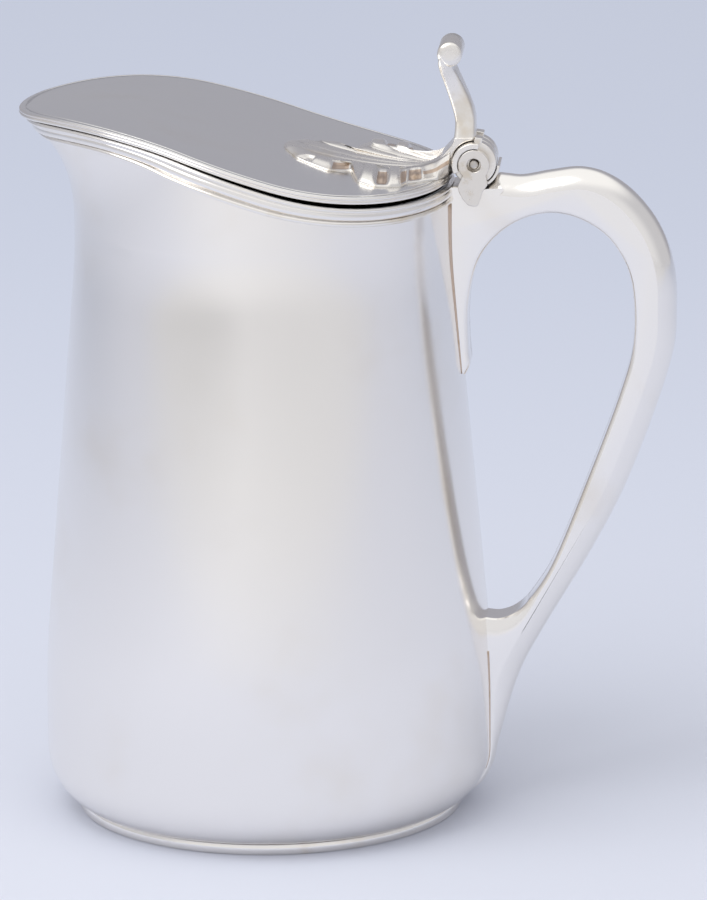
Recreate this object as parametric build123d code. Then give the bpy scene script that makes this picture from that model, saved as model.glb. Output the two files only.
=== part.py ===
from build123d import *
import os
from math import asin, atan2, cos, radians, sin, sqrt, tan

# A silver hot milk pitcher: a tapered jug with a saddle-shaped rim and a short flared spout,
# a hinged lid that follows the rim, a cast palmette strap with a thumb-piece, and a hollow
# handle made of two halves.  Millimetres, Z up.  The origin is the centre of the foot, on the
# table.  The spout points to -X and the handle to +X.

# Body and foot
foot_step = 0.6
foot_height = 2.8
foot_width = 2.4
base_thickness = 1.0
wall = 1.0
solder_gap = 0.02
belly_radius = 49.35
belly_start = 14.0
belly_end = 24.0
shoulder_radius = 13.3
taper_start = 44.0
taper_end = 120.0
neck_radius = 41.3
neck_start = 132.0
body_top = 160.0

# Mouth, seen from above: a round back, two long side arcs and a blunt spout tip
mouth_radius = 41.5
mouth_side_radius = 73.0
spout_tip_radius = 25.0
spout_reach = 53.1
spout_round = 157.0
neck_flare_low = 0.15
neck_flare_power = 3.0
neck_spread_low = 0.25
neck_ease_power = 1.7
band_proud = 0.6
bead_proud = 0.9
band_height = 2.6
bead_height = 1.2

# The saddle line of the lid's top edge, seen from the side
saddle_high_x = -40.0
saddle_low_x = 38.0
saddle_low_z = 143.9
saddle_rise = 15.0
saddle_straight = 19.0
saddle_crest_share = 0.44

# Lid
lid_wire_height = 1.9
lid_wire_width = 1.6
lid_plate_thickness = 0.9
lid_plate_set_down = 0.3
lid_gap_front = 0.3
lid_gap_back = 0.9

# Hinge
pin_x = 46.4
pin_z = 145.9
pin_radius = 1.15
pin_clearance = 0.05
barrel_radius = 4.8
ear_radius = 3.4
ear_width = 2.2
lid_knuckle_width = 2.95
fixed_knuckle_width = 3.5
fixed_root_step = 0.8
knuckle_gap = 0.05
ear_gap = 0.15
barrel_gap = 0.15
hood_start = 75.0
hood_end = 205.0
lug_height = 1.5
lug_width = 1.0
lid_lug_angle = 80.0
fixed_lug_angle = -1.5
stop_start = -58.0
stem_back_x = 47.4
stem_front_x = 44.0
stem_bottom_z = 136.6
bracket_bottom_z = 135.2
bracket_round = 1.4

# Strap and thumb-piece.  The root is the joint of the two, under the waist of the lever.
strap_step = 1.3
strap_half_width = 22.2
strap_tip_x = 5.6
root_x = 44.4
root_z = 151.6
root_depth = 2.2
leaf_rise = 2.3
leaf_root_radius = 1.5
leaf_tip_radius = 3.2
thumb_waist_half_width = 3.2
thumb_head_half_width = 6.0
thumb_head_radius = 2.7
thumb_head_x = 41.2
thumb_head_z = 170.0

# Handle
handle_reach = 90.2
handle_top_z = 144.3
handle_foot_z = 7.4
handle_half_width = 5.0
handle_back_round = 4.0
handle_inner_round = 1.4
handle_root_depth = 5.5
handle_tang_step = 3.0
handle_foot_step = 4.0

os.makedirs("parts", exist_ok=True)


def box_between(low, high):
    """A box from its lowest and highest corners."""
    size = [high[i] - low[i] for i in range(3)]
    centre = [(high[i] + low[i]) / 2 for i in range(3)]
    return Pos(*centre) * Box(*size)


def cylinder_y(x, z, radius, y_from, y_to):
    """A cylinder along Y."""
    return Pos(x, (y_from + y_to) / 2, z) * Rot(90, 0, 0) * Cylinder(radius, y_to - y_from)


def side_extrude(face_xz, y_from, y_to):
    """Extrudes a face drawn in the XZ plane between two Y values."""
    moved = Pos(0, y_to, 0) * face_xz
    return extrude(moved, amount=y_to - y_from, dir=(0, -1, 0))


# Jug form

def jug_profile(grow):
    """The turned outline from the foot to the neck, grown or shrunk by one value."""
    centre_x = belly_radius - shoulder_radius
    radius = shoulder_radius + grow
    drop = belly_start - foot_height
    low_x = centre_x + sqrt(radius ** 2 - drop ** 2)
    half_turn = asin(drop / radius) / 2
    mid = (centre_x + radius * cos(half_turn), belly_start - radius * sin(half_turn))
    belly = belly_radius + grow
    neck = neck_radius + grow
    pts = [(low_x, foot_height), (belly, belly_start), (belly, belly_end), (neck, neck_start)]
    shoulder = ThreePointArc(pts[0], mid, pts[1])
    side = Line(pts[1], pts[2])
    slope = (belly - neck) / (taper_end + neck_start - taper_start - belly_end) * 2
    start_x = belly - slope * (taper_start - belly_end) / 2
    end_x = neck + slope * (neck_start - taper_end) / 2
    upper = Spline(pts[2], (start_x, taper_start), (end_x, taper_end), pts[3],
                   tangents=[(0, 1), (0, 1)])
    rest = Polyline(pts[3], (0, neck_start), (0, foot_height), pts[0])
    face = make_face(Curve() + [shoulder, side, upper, rest])
    return revolve(Plane.XZ * face, Axis.Z)


def hull_arcs(back, side, tip, reach):
    """The side arc's centre and the two directions in which it meets the back and tip arcs."""
    far = side - back
    near = side - tip
    tip_x = tip - reach
    sx = (far ** 2 - near ** 2 + tip_x ** 2) / (2 * tip_x)
    sy = -sqrt(max(far ** 2 - sx ** 2, 0))
    return sx, sy, atan2(-sy, -sx), atan2(-sy, tip_x - sx)


def hull_wire(z, back, side, tip, reach, arcs):
    """A closed plan outline: a back arc, two side arcs and a tip arc, tangent to each other."""
    sx, sy, back_turn, tip_turn = arcs
    tip_x = tip - reach
    mid_turn = (back_turn + tip_turn) / 2
    ends = [(back * cos(back_turn), back * sin(back_turn)),
            (sx + side * cos(mid_turn), sy + side * sin(mid_turn)),
            (tip_x + tip * cos(tip_turn), tip * sin(tip_turn))]
    left = [(x, y, z) for x, y in ends]
    right = [(x, -y, z) for x, y in ends]
    return Wire([
        ThreePointArc(left[0], left[1], left[2]),
        ThreePointArc(left[2], (-reach, 0, z), right[2]),
        ThreePointArc(right[2], right[1], right[0]),
        ThreePointArc(right[0], (back, 0, z), left[0]),
    ])


def mouth_wire(z, grow):
    """The mouth outline of the lid and bands, grown or shrunk evenly."""
    sizes = [mouth_radius + grow, mouth_side_radius + grow, spout_tip_radius + grow,
             spout_reach + grow]
    return hull_wire(z, *sizes, hull_arcs(*sizes))


def neck_sizes(share):
    """The four sizes of the neck outline as the spout opens, share running from 0 to 1."""
    ease = share ** neck_ease_power
    flare = neck_flare_low * ease + (1 - neck_flare_low) * share ** neck_flare_power
    spread = neck_spread_low * ease + (1 - neck_spread_low) * share ** 2
    base = neck_radius
    return [base,
            base + (mouth_side_radius - mouth_radius) * spread,
            base - (mouth_radius - spout_tip_radius) * spread,
            base + (spout_reach - mouth_radius) * flare]


def neck_section(z, grow):
    """The plan outline of the neck at one height, from a circle to the mouth outline."""
    share = (z - neck_start) / (spout_round - neck_start)
    if share <= 0:
        arcs = hull_arcs(*neck_sizes(0.001))
        base = neck_radius + grow
        return hull_wire(z, base, base, base, base, (0, 0, arcs[2], arcs[3]))
    sizes = [size + grow for size in neck_sizes(share)]
    return hull_wire(z, *sizes, hull_arcs(*sizes))


def jug_form(grow):
    """The whole jug as one solid, up to above the rim, grown or shrunk by one value."""
    rise = body_top - neck_start
    heights = [neck_start + rise * share for share in (0, 0.1, 0.2, 0.32, 0.45, 0.58, 0.7, 0.82, 0.9, 1)]
    neck = Solid.make_loft([neck_section(z, grow) for z in heights])
    return jug_profile(grow) + neck


# Saddle line

def saddle_sizes(rise):
    """The angle of a saddle line's straight fall and the radii of its crest and trough."""
    width = saddle_low_x - saddle_high_x
    half_fall = atan2(rise, width + saddle_straight)
    both_radii = (width - rise / tan(2 * half_fall)) / tan(half_fall)
    crest_radius = both_radii * saddle_crest_share
    return 2 * half_fall, crest_radius, both_radii - crest_radius


def lid_line_z(x):
    """The height of the lid's top line between its crest and its trough."""
    fall, crest_radius, trough_radius = saddle_sizes(saddle_rise)
    crest_end = crest_radius * sin(fall)
    trough_end = trough_radius * sin(fall)
    past = x - saddle_high_x
    left = saddle_low_x - x
    if left < trough_end:
        return saddle_low_z + trough_radius - sqrt(trough_radius ** 2 - left ** 2)
    if past < crest_end:
        return saddle_low_z + saddle_rise - crest_radius + sqrt(crest_radius ** 2 - past ** 2)
    return saddle_low_z + trough_radius * (1 - cos(fall)) + (left - trough_end) * tan(fall)


def saddle_face(high_z, low_z, floor_z):
    """The XZ face under a saddle line: a crest arc, a straight fall and a trough arc."""
    fall, crest_radius, trough_radius = saddle_sizes(high_z - low_z)

    def on_crest(turn):
        return (saddle_high_x + crest_radius * sin(turn), high_z - crest_radius * (1 - cos(turn)))

    def on_trough(turn):
        return (saddle_low_x - trough_radius * sin(turn), low_z + trough_radius * (1 - cos(turn)))

    top = [ThreePointArc(on_crest(-fall), on_crest(0), on_crest(fall)),
           Line(on_crest(fall), on_trough(fall)),
           ThreePointArc(on_trough(fall), on_trough(0), on_trough(-fall))]
    first, last = on_crest(-fall), on_trough(-fall)
    rest = Polyline(last, (last[0], floor_z), (first[0], floor_z), first)
    return Plane.XZ * make_face(Curve() + top + [rest])


def below_lid(drop):
    """Everything below the lid's top saddle line, lowered by a drop."""
    face = saddle_face(saddle_low_z + saddle_rise - drop, saddle_low_z - drop, 0)
    return side_extrude(face, -belly_radius, belly_radius)


def below_rim(drop):
    """Everything below the jug's rim, lowered by a drop; the lid's gap opens to the back."""
    down_front = lid_wire_height + lid_gap_front + drop
    down_back = lid_wire_height + lid_gap_back + drop
    face = saddle_face(saddle_low_z + saddle_rise - down_front, saddle_low_z - down_back, 0)
    return side_extrude(face, -belly_radius, belly_radius)


def mouth_prism(grow):
    """A tall prism on the mouth outline."""
    return extrude(make_face(mouth_wire(neck_start, grow).edges()), amount=body_top - neck_start)


# Jug pieces

def make_body_shell():
    shell = jug_form(0) - jug_form(-wall)
    return shell & below_rim(0)


def make_base_plate():
    drop = belly_start - foot_height
    radius = belly_radius - shoulder_radius + sqrt((shoulder_radius - wall) ** 2 - drop ** 2)
    return Pos(0, 0, foot_height + base_thickness / 2) * Cylinder(radius - solder_gap, base_thickness)


def make_foot_ring():
    """The wire that the jug stands on, set a step in from the shell's lower edge."""
    drop = belly_start - foot_height
    shell_edge = belly_radius - shoulder_radius + sqrt(shoulder_radius ** 2 - drop ** 2)
    foot_radius = shell_edge - foot_step
    outer = Pos(0, 0, foot_height / 2) * Cylinder(foot_radius, foot_height)
    inner = Pos(0, 0, foot_height / 2) * Cylinder(foot_radius - foot_width, foot_height)
    ring = outer - inner
    return fillet(ring.edges().filter_by(GeomType.CIRCLE).group_by(Axis.Z)[0], 0.5)


def rim_ring(proud, start, height):
    """A band on the jug's skin, between two lines parallel to the rim."""
    ring = jug_form(proud) - jug_form(0)
    return (ring & below_rim(start)) - below_rim(start + height)


def make_mouth_band():
    return rim_ring(band_proud, 0, band_height)


def make_mouth_bead():
    return rim_ring(bead_proud, band_height, bead_height)


# Lid pieces

def make_lid_wire():
    ring = mouth_prism(0) - mouth_prism(-lid_wire_width)
    return (ring & below_lid(0)) - below_lid(lid_wire_height)


def make_lid_plate():
    plate = mouth_prism(-lid_wire_width)
    top = lid_plate_set_down
    return (plate & below_lid(top)) - below_lid(top + lid_plate_thickness)


# Hinge pieces

def pin_hole(y_from, y_to):
    return cylinder_y(pin_x, pin_z, pin_radius + pin_clearance, y_from, y_to)


fixed_half = fixed_knuckle_width / 2
lid_near = fixed_half + knuckle_gap
lid_far = lid_near + lid_knuckle_width
ear_near = lid_far + ear_gap
ear_far = ear_near + ear_width


def mirror_y(part, side):
    """The part as drawn on the +Y side, or its mirror image for the -Y side."""
    return part if side > 0 else mirror(part, about=Plane.XZ)


def lug_at(angle, y_from, y_to, inner, outer):
    """A stop lug that stands out from the barrel at an angle above +X."""
    middle = (inner + outer) / 2
    lug = Pos(middle, 0, 0) * Box(outer - inner, y_to - y_from, lug_width)
    return Pos(pin_x, (y_from + y_to) / 2, pin_z) * Rot(0, -angle, 0) * lug


def make_lid_knuckle(side):
    """A lid barrel with its stop lug and the hood that laps over the ear."""
    barrel = cylinder_y(pin_x, pin_z, barrel_radius, lid_near, lid_far)
    lug = lug_at(lid_lug_angle, lid_near, lid_far, barrel_radius - lug_height / 2,
                 barrel_radius + lug_height)
    hood = ring_sector(ear_radius + barrel_gap, barrel_radius, hood_start, hood_end,
                       lid_far, ear_far)
    return mirror_y(barrel + lug + hood - pin_hole(lid_near, ear_far), side)


def make_fixed_knuckle():
    barrel = cylinder_y(pin_x, pin_z, barrel_radius, -fixed_half, fixed_half)
    root = box_between((pin_x, -fixed_half, bracket_top_z()), (stem_back_x + fixed_root_step, fixed_half, pin_z))
    return barrel + root - pin_hole(-fixed_half, fixed_half) - clear_of_rim()


def bracket_top_z():
    return pin_z - barrel_radius - barrel_gap


def clear_of_rim():
    """The jug with its bands: what the hinge pieces are fitted against."""
    return jug_form(bead_proud) & below_rim(0)


def make_hinge_bracket():
    """The block soldered to the neck that carries the ears and the fixed knuckle."""
    block = box_between((neck_radius - 1, -ear_near, bracket_bottom_z),
                        (stem_back_x, ear_near, bracket_top_z()))
    lower = block.edges().filter_by(Axis.X).group_by(Axis.Z)[0]
    return fillet(lower, bracket_round) - clear_of_rim()


def make_hinge_ear(side):
    """An eye on a stem that stands beside the bracket and ends in a round tongue."""
    eye = cylinder_y(pin_x, pin_z, ear_radius, ear_near, ear_far)
    stem = ear_stem(0, ear_near, ear_far)
    hole = cylinder_y(pin_x, pin_z, pin_radius + pin_clearance * 4, ear_near, ear_far)
    return mirror_y(eye + stem - hole, side)


def ear_stem(grow, y_from, y_to):
    """The ear's stem, waisted under the eye and round at its lower end."""
    tongue = (stem_back_x - stem_front_x) / 2 + grow
    middle_x = (stem_front_x + stem_back_x) / 2
    stem = box_between((middle_x - tongue, y_from, stem_bottom_z + tongue),
                       (middle_x + tongue, y_to, pin_z))
    return stem + cylinder_y(middle_x, stem_bottom_z + tongue, tongue, y_from, y_to)


def ring_sector(inner, outer, turn_from, turn_to, y_from, y_to):
    """A slice of a tube round the pin, between two angles above +X."""
    ring = cylinder_y(pin_x, pin_z, outer, y_from, y_to)
    ring -= cylinder_y(pin_x, pin_z, inner, y_from, y_to)
    reach = outer * 3
    turns = [radians(turn_from), radians((turn_from + turn_to) / 2), radians(turn_to)]
    corners = [(pin_x, pin_z)] + [(pin_x + reach * cos(t), pin_z + reach * sin(t)) for t in turns]
    wedge = Plane.XZ * make_face(Polyline(*corners, close=True))
    return ring & side_extrude(wedge, y_from, y_to)


def stop_outer():
    return barrel_radius + lug_height


def make_hinge_stop():
    """The curved cheek behind the barrel whose top edge stops the open lid."""
    cheek = ring_sector(barrel_radius + barrel_gap, stop_outer(), stop_start, fixed_lug_angle,
                        -lid_far, lid_far)
    return cheek


def make_hinge_pin():
    return cylinder_y(pin_x, pin_z, pin_radius, -ear_far + 0.1, ear_far - 0.1)


# Strap and thumb-piece

def strap_point(out, across):
    """A plan point of the strap, as shares of its length from the root and of its half width."""
    return root_x - out * (root_x - strap_tip_x), across * strap_half_width


def strap_edge(side):
    """One side of the palmette's edge: two front lobes, a deep notch, a side lobe and a web."""
    def point(out, across):
        return strap_point(out, across * side)

    notches = [point(0.985, 0.15), point(0.89, 0.46), point(0.63, 0.44), point(0.32, 0.79),
               point(0.04, 0.22)]
    return [ThreePointArc(notches[0], point(0.975, 0.33), notches[1]),
            ThreePointArc(notches[1], point(0.76, 0.63), notches[2]),
            Spline(notches[2], point(0.606, 0.676), point(0.562, 0.914), point(0.477, 1),
                   point(0.392, 0.955), notches[3]),
            ThreePointArc(notches[3], point(0.137, 0.56), notches[4])]


def strap_plan():
    """The palmette's plan, with a blunt tip toward the spout."""
    tip = ThreePointArc(strap_point(0.985, -0.15), strap_point(1, 0), strap_point(0.985, 0.15))
    root = Line(strap_point(0.04, -0.22), strap_point(0.04, 0.22))
    return make_face(Curve() + strap_edge(1) + strap_edge(-1) + [tip, root])


# Each leaf's middle, as shares of the strap's length and half width, and how full the leaf is
leaves = [(0.9, 0, 1.0), (0.865, 0.31, 0.9), (0.725, 0.47, 0.85), (0.48, 0.82, 1.0),
          (0.345, 0.62, 0.75), (0.16, 0.38, 0.65)]


def make_leaf(out, across, slim):
    """A ridge that runs from the lever's root to the middle of one lobe, round in section."""
    x, y = strap_point(out, across)
    start = Vector(root_x - root_depth * 1.5, 0, pin_z + barrel_radius * 0.45)
    tip_radius = leaf_tip_radius * slim
    z = lid_line_z(x) + leaf_rise - tip_radius
    run = Vector(x, y, z) - start
    ridge = Solid.make_cone(leaf_root_radius, tip_radius, run.length, Plane(start, z_dir=run.normalized()))
    return ridge + Pos(x, y, z) * Sphere(tip_radius)


def make_strap():
    """The cast strap: a lobed plate, radiating leaves and the sweep up to the lever."""
    height = body_top - stem_bottom_z
    plate = extrude(Pos(0, 0, stem_bottom_z) * strap_plan(), amount=height)
    strap = plate & below_lid(lid_plate_set_down - strap_step)
    for out, across, slim in leaves:
        for side in ((1,) if across == 0 else (1, -1)):
            strap += make_leaf(out, across * side, slim)
    strap += side_extrude(strap_sweep(), -lid_far, lid_far)
    edge = mouth_radius - lid_wire_width
    strap -= below_lid(lid_plate_set_down) & box_between((0, -belly_radius, 0),
                                                         (edge, belly_radius, body_top))
    strap -= below_lid(0) & box_between((edge, -belly_radius, 0),
                                        (mouth_radius + barrel_gap, belly_radius, body_top))
    strap -= box_between((edge, -belly_radius, 0),
                         (root_x * 2, belly_radius, saddle_low_z - lid_plate_set_down))
    strap -= make_lid_wire()
    strap -= cylinder_y(pin_x, pin_z, barrel_radius, -ear_far, ear_far)
    strap -= cylinder_y(pin_x, pin_z, barrel_radius + barrel_gap, -lid_near, lid_near)
    return strap


def strap_sweep():
    """The XZ face of the strap's root, which sweeps up from the leaves to the lever."""
    front = root_x - root_depth
    back = root_x + root_depth
    low_x = pin_x - barrel_radius * 2.2
    low_z = pin_z + barrel_radius * 0.35
    sweep = Spline((low_x, low_z), ((low_x + front) / 2, low_z + 0.18 * (root_z - low_z)),
                   (front, root_z), tangents=[(1, 0), (0, 1)])
    rest = Polyline((front, root_z), (back, root_z), (back, pin_z), (low_x, pin_z), (low_x, low_z))
    return Plane.XZ * make_face(Curve() + [sweep, rest])


def lever_point(forward, up):
    """A point on the lever's side outline, in shares of its rise from the root to the head."""
    rise = thumb_head_z - root_z
    return root_x - forward * rise, root_z + up * rise


def make_thumb_piece():
    """The lever with its rolled head, waisted in the middle and broad at the top."""
    half_root = root_depth / (thumb_head_z - root_z)
    front_points = [(half_root, 0), (0.11, 0.21), (0.174, 0.473), (0.277, 0.772), (0.32, 0.978)]
    back_points = [(0.098, 0.967), (0.12, 0.804), (0.038, 0.641), (-0.065, 0.402),
                   (-0.114, 0.185), (-half_root, 0)]
    front_points = [lever_point(*p) for p in front_points]
    back_points = [lever_point(*p) for p in back_points]
    front = Spline(*front_points, tangents=[(0.1, 1), (-0.1, 1)])
    back = Spline(*back_points, tangents=[(-0.5, -1), (0, -1)])
    joint = Line(back_points[-1], front_points[0])
    cap = Line(front_points[-1], back_points[0])
    side = Plane.XZ * make_face(Curve() + [front, cap, back, joint])
    wide = thumb_head_half_width
    lever = side_extrude(side, -wide, wide)
    roll = cylinder_y(thumb_head_x, thumb_head_z, thumb_head_radius, -wide, wide)
    return (lever + roll) & lever_front(wide)


def lever_front(wide):
    """The lever's front outline as a prism: broad foot, narrow waist, broad head."""
    waist = thumb_waist_half_width
    half = [(lid_far, 0), (waist * 1.1, 0.24), (waist, 0.457), (waist * 1.16, 0.7),
            (wide * 0.83, 0.89), (wide, 1.05)]
    half = [(y, lever_point(0, up)[1]) for y, up in half]
    top_z = thumb_head_z + thumb_head_radius * 2
    right = Spline(*half, tangents=[(-0.4, 1), (0.2, 1)])
    left = Spline(*[(-y, z) for y, z in reversed(half)], tangents=[(0.2, -1), (-0.4, -1)])
    bottom = Line((-half[0][0], half[0][1]), half[0])
    top = Polyline(half[-1], (wide, top_z), (-wide, top_z), (-wide, half[-1][1]))
    outline = Plane.YZ * make_face(Curve() + [right, top, left, bottom])
    return extrude(outline, amount=pin_x * 2, dir=(1, 0, 0))


# Handle

def handle_point(out, up):
    """A point on the handle's side outline, in shares of its reach from the neck and its rise."""
    return (neck_radius + out * (handle_reach - neck_radius),
            handle_foot_z + up * (handle_top_z - handle_foot_z))


def handle_side():
    """The handle's side outline, running into the jug where it is soldered on."""
    outer = [(0.19, 0.983), (0.40, 0.993), (0.577, 1.0), (0.72, 0.985), (0.879, 0.932), (0.984, 0.85),
             (1.0, 0.782), (0.973, 0.684), (0.793, 0.5), (0.617, 0.373), (0.421, 0.254), (0.29, 0.166),
             (0.188, 0.053), (0.121, 0)]
    inner = [(0.141, 0.278), (0.209, 0.2725), (0.286, 0.283), (0.362, 0.31), (0.456, 0.364),
             (0.599, 0.492), (0.744, 0.632), (0.808, 0.72), (0.8, 0.82), (0.718, 0.882), (0.593, 0.917),
             (0.448, 0.931), (0.307, 0.919), (0.192, 0.89), (0.112, 0.846), (0.074, 0.779),
             (0.078, 0.7)]
    outer = [handle_point(*p) for p in outer]
    inner = [handle_point(*p) for p in inner]
    neck_x = neck_radius - handle_root_depth
    belly_x = belly_radius - handle_root_depth * 1.6
    tang = inner[-1][1] - handle_root_depth / 2
    into_neck = Polyline(inner[-1], (neck_radius + handle_tang_step, tang), (neck_x, tang),
                         (neck_x, bracket_bottom_z), (stem_back_x, bracket_bottom_z),
                         (stem_back_x, outer[0][1]), outer[0])
    into_belly = Polyline(outer[-1], (belly_x, outer[-1][1] + handle_foot_step), (belly_x, inner[0][1]), inner[0])
    return Spline(*outer), Spline(*inner), into_neck, into_belly


def make_handle_half(side):
    outer, inner, into_neck, into_belly = handle_side()
    face = Plane.XZ * make_face(Curve() + [outer, inner, into_neck, into_belly])
    half = side_extrude(face, 0, handle_half_width)
    rims = half.edges().filter_by(lambda e: e.center().Y > handle_half_width - 0.01)
    rims = rims.sort_by(SortBy.LENGTH)
    half = fillet(rims[-1:], handle_back_round)
    rims = half.edges().filter_by(lambda e: e.center().Y > handle_half_width - 0.01)
    inner_rim = [e for e in rims if abs(e.length - inner.length) < 1]
    half = fillet(inner_rim, handle_inner_round)
    half -= jug_form(solder_gap)
    half -= rim_ring(bead_proud, 0, band_height + bead_height)
    half -= cylinder_y(pin_x, pin_z, stop_outer(), -ear_far, ear_far)
    half -= ear_stem(0, lid_far, ear_far)
    return mirror_y(half, side)


# Build and write

makers = {
    "body_shell": make_body_shell,
    "base_plate": make_base_plate,
    "foot_ring": make_foot_ring,
    "mouth_band": make_mouth_band,
    "mouth_bead": make_mouth_bead,
    "handle_near_half": lambda: make_handle_half(-1),
    "handle_far_half": lambda: make_handle_half(1),
    "hinge_bracket": make_hinge_bracket,
    "hinge_ear_near": lambda: make_hinge_ear(-1),
    "hinge_ear_far": lambda: make_hinge_ear(1),
    "fixed_knuckle": make_fixed_knuckle,
    "hinge_stop": make_hinge_stop,
    "hinge_pin": make_hinge_pin,
    "lid_plate": make_lid_plate,
    "lid_wire": make_lid_wire,
    "lid_strap": make_strap,
    "thumb_piece": make_thumb_piece,
    "lid_knuckle_near": lambda: make_lid_knuckle(-1),
    "lid_knuckle_far": lambda: make_lid_knuckle(1),
}

for name, maker in makers.items():
    export_step(maker(), "parts/" + name + ".step")
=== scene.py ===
from math import atan2, cos, pi, radians, sin, sqrt, tan

import bmesh
import bpy
from mathutils import Matrix, Vector


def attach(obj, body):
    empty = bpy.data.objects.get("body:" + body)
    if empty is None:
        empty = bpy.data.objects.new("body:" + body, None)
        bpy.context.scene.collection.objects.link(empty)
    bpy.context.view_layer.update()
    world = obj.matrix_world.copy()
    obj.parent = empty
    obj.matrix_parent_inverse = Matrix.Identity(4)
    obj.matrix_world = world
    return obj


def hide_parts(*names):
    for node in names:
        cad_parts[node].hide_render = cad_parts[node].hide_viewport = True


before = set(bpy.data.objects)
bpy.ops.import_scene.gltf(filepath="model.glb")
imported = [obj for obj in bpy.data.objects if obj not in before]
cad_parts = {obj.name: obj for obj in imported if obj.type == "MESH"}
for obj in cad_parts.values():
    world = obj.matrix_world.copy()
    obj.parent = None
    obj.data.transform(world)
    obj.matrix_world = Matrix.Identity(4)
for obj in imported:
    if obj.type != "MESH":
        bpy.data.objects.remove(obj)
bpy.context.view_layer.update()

# The camera.  It stands in front of the jug, a little to the handle's side, and looks down on it
# with a long lens.  Its place was fitted to the circle of the foot and the round of the mouth.

mm = 0.001
camera_distance = 1600 * mm
camera_height = 491.5 * mm
camera_turn = radians(5.0)
camera_pan = radians(-0.683)
camera_pitch = radians(14.428)
camera_roll = radians(-0.6)
photo_width = 707
focal_pixels = 7505.5
film_width = 36.0

looking = camera_turn + camera_pan
ahead = Vector((-sin(looking) * cos(camera_pitch), cos(looking) * cos(camera_pitch), -sin(camera_pitch)))
level = Vector((cos(looking), sin(looking), 0))
upright = level.cross(ahead)
right = cos(camera_roll) * level + sin(camera_roll) * upright
up = cos(camera_roll) * upright - sin(camera_roll) * level
camera_data = bpy.data.cameras.new("camera")
camera_data.sensor_fit = "HORIZONTAL"
camera_data.sensor_width = film_width
camera_data.lens = focal_pixels * film_width / photo_width
camera_data.clip_end = 20
camera = bpy.data.objects.new("camera", camera_data)
camera.matrix_world = Matrix((
    (right.x, up.x, -ahead.x, camera_distance * sin(camera_turn)),
    (right.y, up.y, -ahead.y, -camera_distance * cos(camera_turn)),
    (right.z, up.z, -ahead.z, camera_height),
    (0, 0, 0, 1)))
bpy.context.collection.objects.link(camera)
bpy.context.scene.camera = camera
bpy.context.scene.view_settings.view_transform = "Standard"


# The maths of materials.  A Sock is one output of a node tree, and sums, products and the like on
# it add their Math nodes.  A Tree makes every other node from its type, settings and inputs.

class Sock:
    def __init__(self, tree, link):
        self.tree = tree
        self.link = link

    def maths(self, kind, *others):
        return self.tree.node("ShaderNodeMath", {"operation": kind}, [self, *others])

    def __add__(self, other):
        return self.maths("ADD", other)

    def __mul__(self, other):
        return self.maths("MULTIPLY", other)

    __radd__ = __add__
    __rmul__ = __mul__

    def clamp(self):
        return self.maths("MINIMUM", 1.0).maths("MAXIMUM", 0.0)

    def ramp(self, low, high):
        """0 below low, 1 above high, and smooth between them."""
        settings = {"interpolation_type": "SMOOTHSTEP"}
        return self.tree.node("ShaderNodeMapRange", settings,
                              {"Value": self, "From Min": low, "From Max": high}, "Result")


class Tree:
    def __init__(self, owner):
        owner.use_nodes = True
        self.tree = owner.node_tree
        self.tree.nodes.clear()

    def node(self, kind, settings=None, inputs=None, output=0):
        made = self.tree.nodes.new(kind)
        for name, value in (settings or {}).items():
            setattr(made, name, value)
        pairs = inputs.items() if isinstance(inputs, dict) else enumerate(inputs or [])
        for name, value in pairs:
            if isinstance(value, Sock):
                self.tree.links.new(value.link, made.inputs[name])
            else:
                made.inputs[name].default_value = value
        return Sock(self, made.outputs[output])

    def finish(self, kind, **links):
        """The output node of a material or a world."""
        made = self.tree.nodes.new("ShaderNodeOutput" + kind)
        for name, sock in links.items():
            self.tree.links.new(sock.link, made.inputs[name])

    def blend(self, share, first, second):
        """A colour between two colours."""
        return self.node("ShaderNodeMix", {"data_type": "RGBA"}, {0: share, 6: first, 7: second}, 2)


# The studio.  A pale table that turns blue-grey towards the back and darker on the left, a bright
# ceiling, a grey wall at the back that the lid mirrors, and one soft lamp for the shadow.

table_size = 8.0
table_front = (0.82, 0.82, 0.83, 1)
table_near = (0.75, 0.775, 0.865, 1)
table_far = (0.626, 0.668, 0.783, 1)
table_near_y = -0.30
table_far_y = 0.75
table_front_y = -0.8
left_shade = 0.80
shade_from, shade_to = 0.12, 0.8
wall_grey = (0.385, 0.385, 0.43, 1)
room_tone = (0.60, 0.60, 0.63, 1)
front_tone = (0.80, 0.80, 0.82, 1)
ceiling_white = (1.0, 1.0, 1.0, 1)
wall_top = 0.55
ceiling_start = 0.85
back_from, back_to = 0.3, 0.75
front_from, front_to = -0.8, -0.3
lamp_power = 8.0
lamp_size = 1.2
lamp_place = Vector((-0.7, -0.6, 1.3))
lamp_aim = Vector((0, 0, 0.08))

table_mesh = bpy.data.meshes.new("table")
half = table_size / 2
table_mesh.from_pydata([(-half, -half, 0), (half, -half, 0), (half, half, 0), (-half, half, 0)],
                       [], [(0, 1, 2, 3)])
table = bpy.data.objects.new("table", table_mesh)
bpy.context.collection.objects.link(table)
cloth = bpy.data.materials.new("table_top")
t = Tree(cloth)
place = t.node("ShaderNodeTexCoord", output="Object")
along = t.node("ShaderNodeSeparateXYZ", None, [place], "Y")
aside = t.node("ShaderNodeSeparateXYZ", None, [place], "X")
tone = t.blend(along.ramp(table_near_y, table_far_y), table_near, table_far)
tone = t.blend(along.ramp(table_front_y, table_near_y), table_front, tone)
leftwards = (aside * -1).ramp(shade_from, shade_to)
shade = t.blend(leftwards, (1, 1, 1, 1), (left_shade, left_shade, left_shade, 1))
tone = t.node("ShaderNodeVectorMath", {"operation": "MULTIPLY"}, [tone, shade])
skin = t.node("ShaderNodeBsdfDiffuse", None, {"Color": tone})
t.finish("Material", Surface=skin)
table_mesh.materials.append(cloth)

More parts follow.
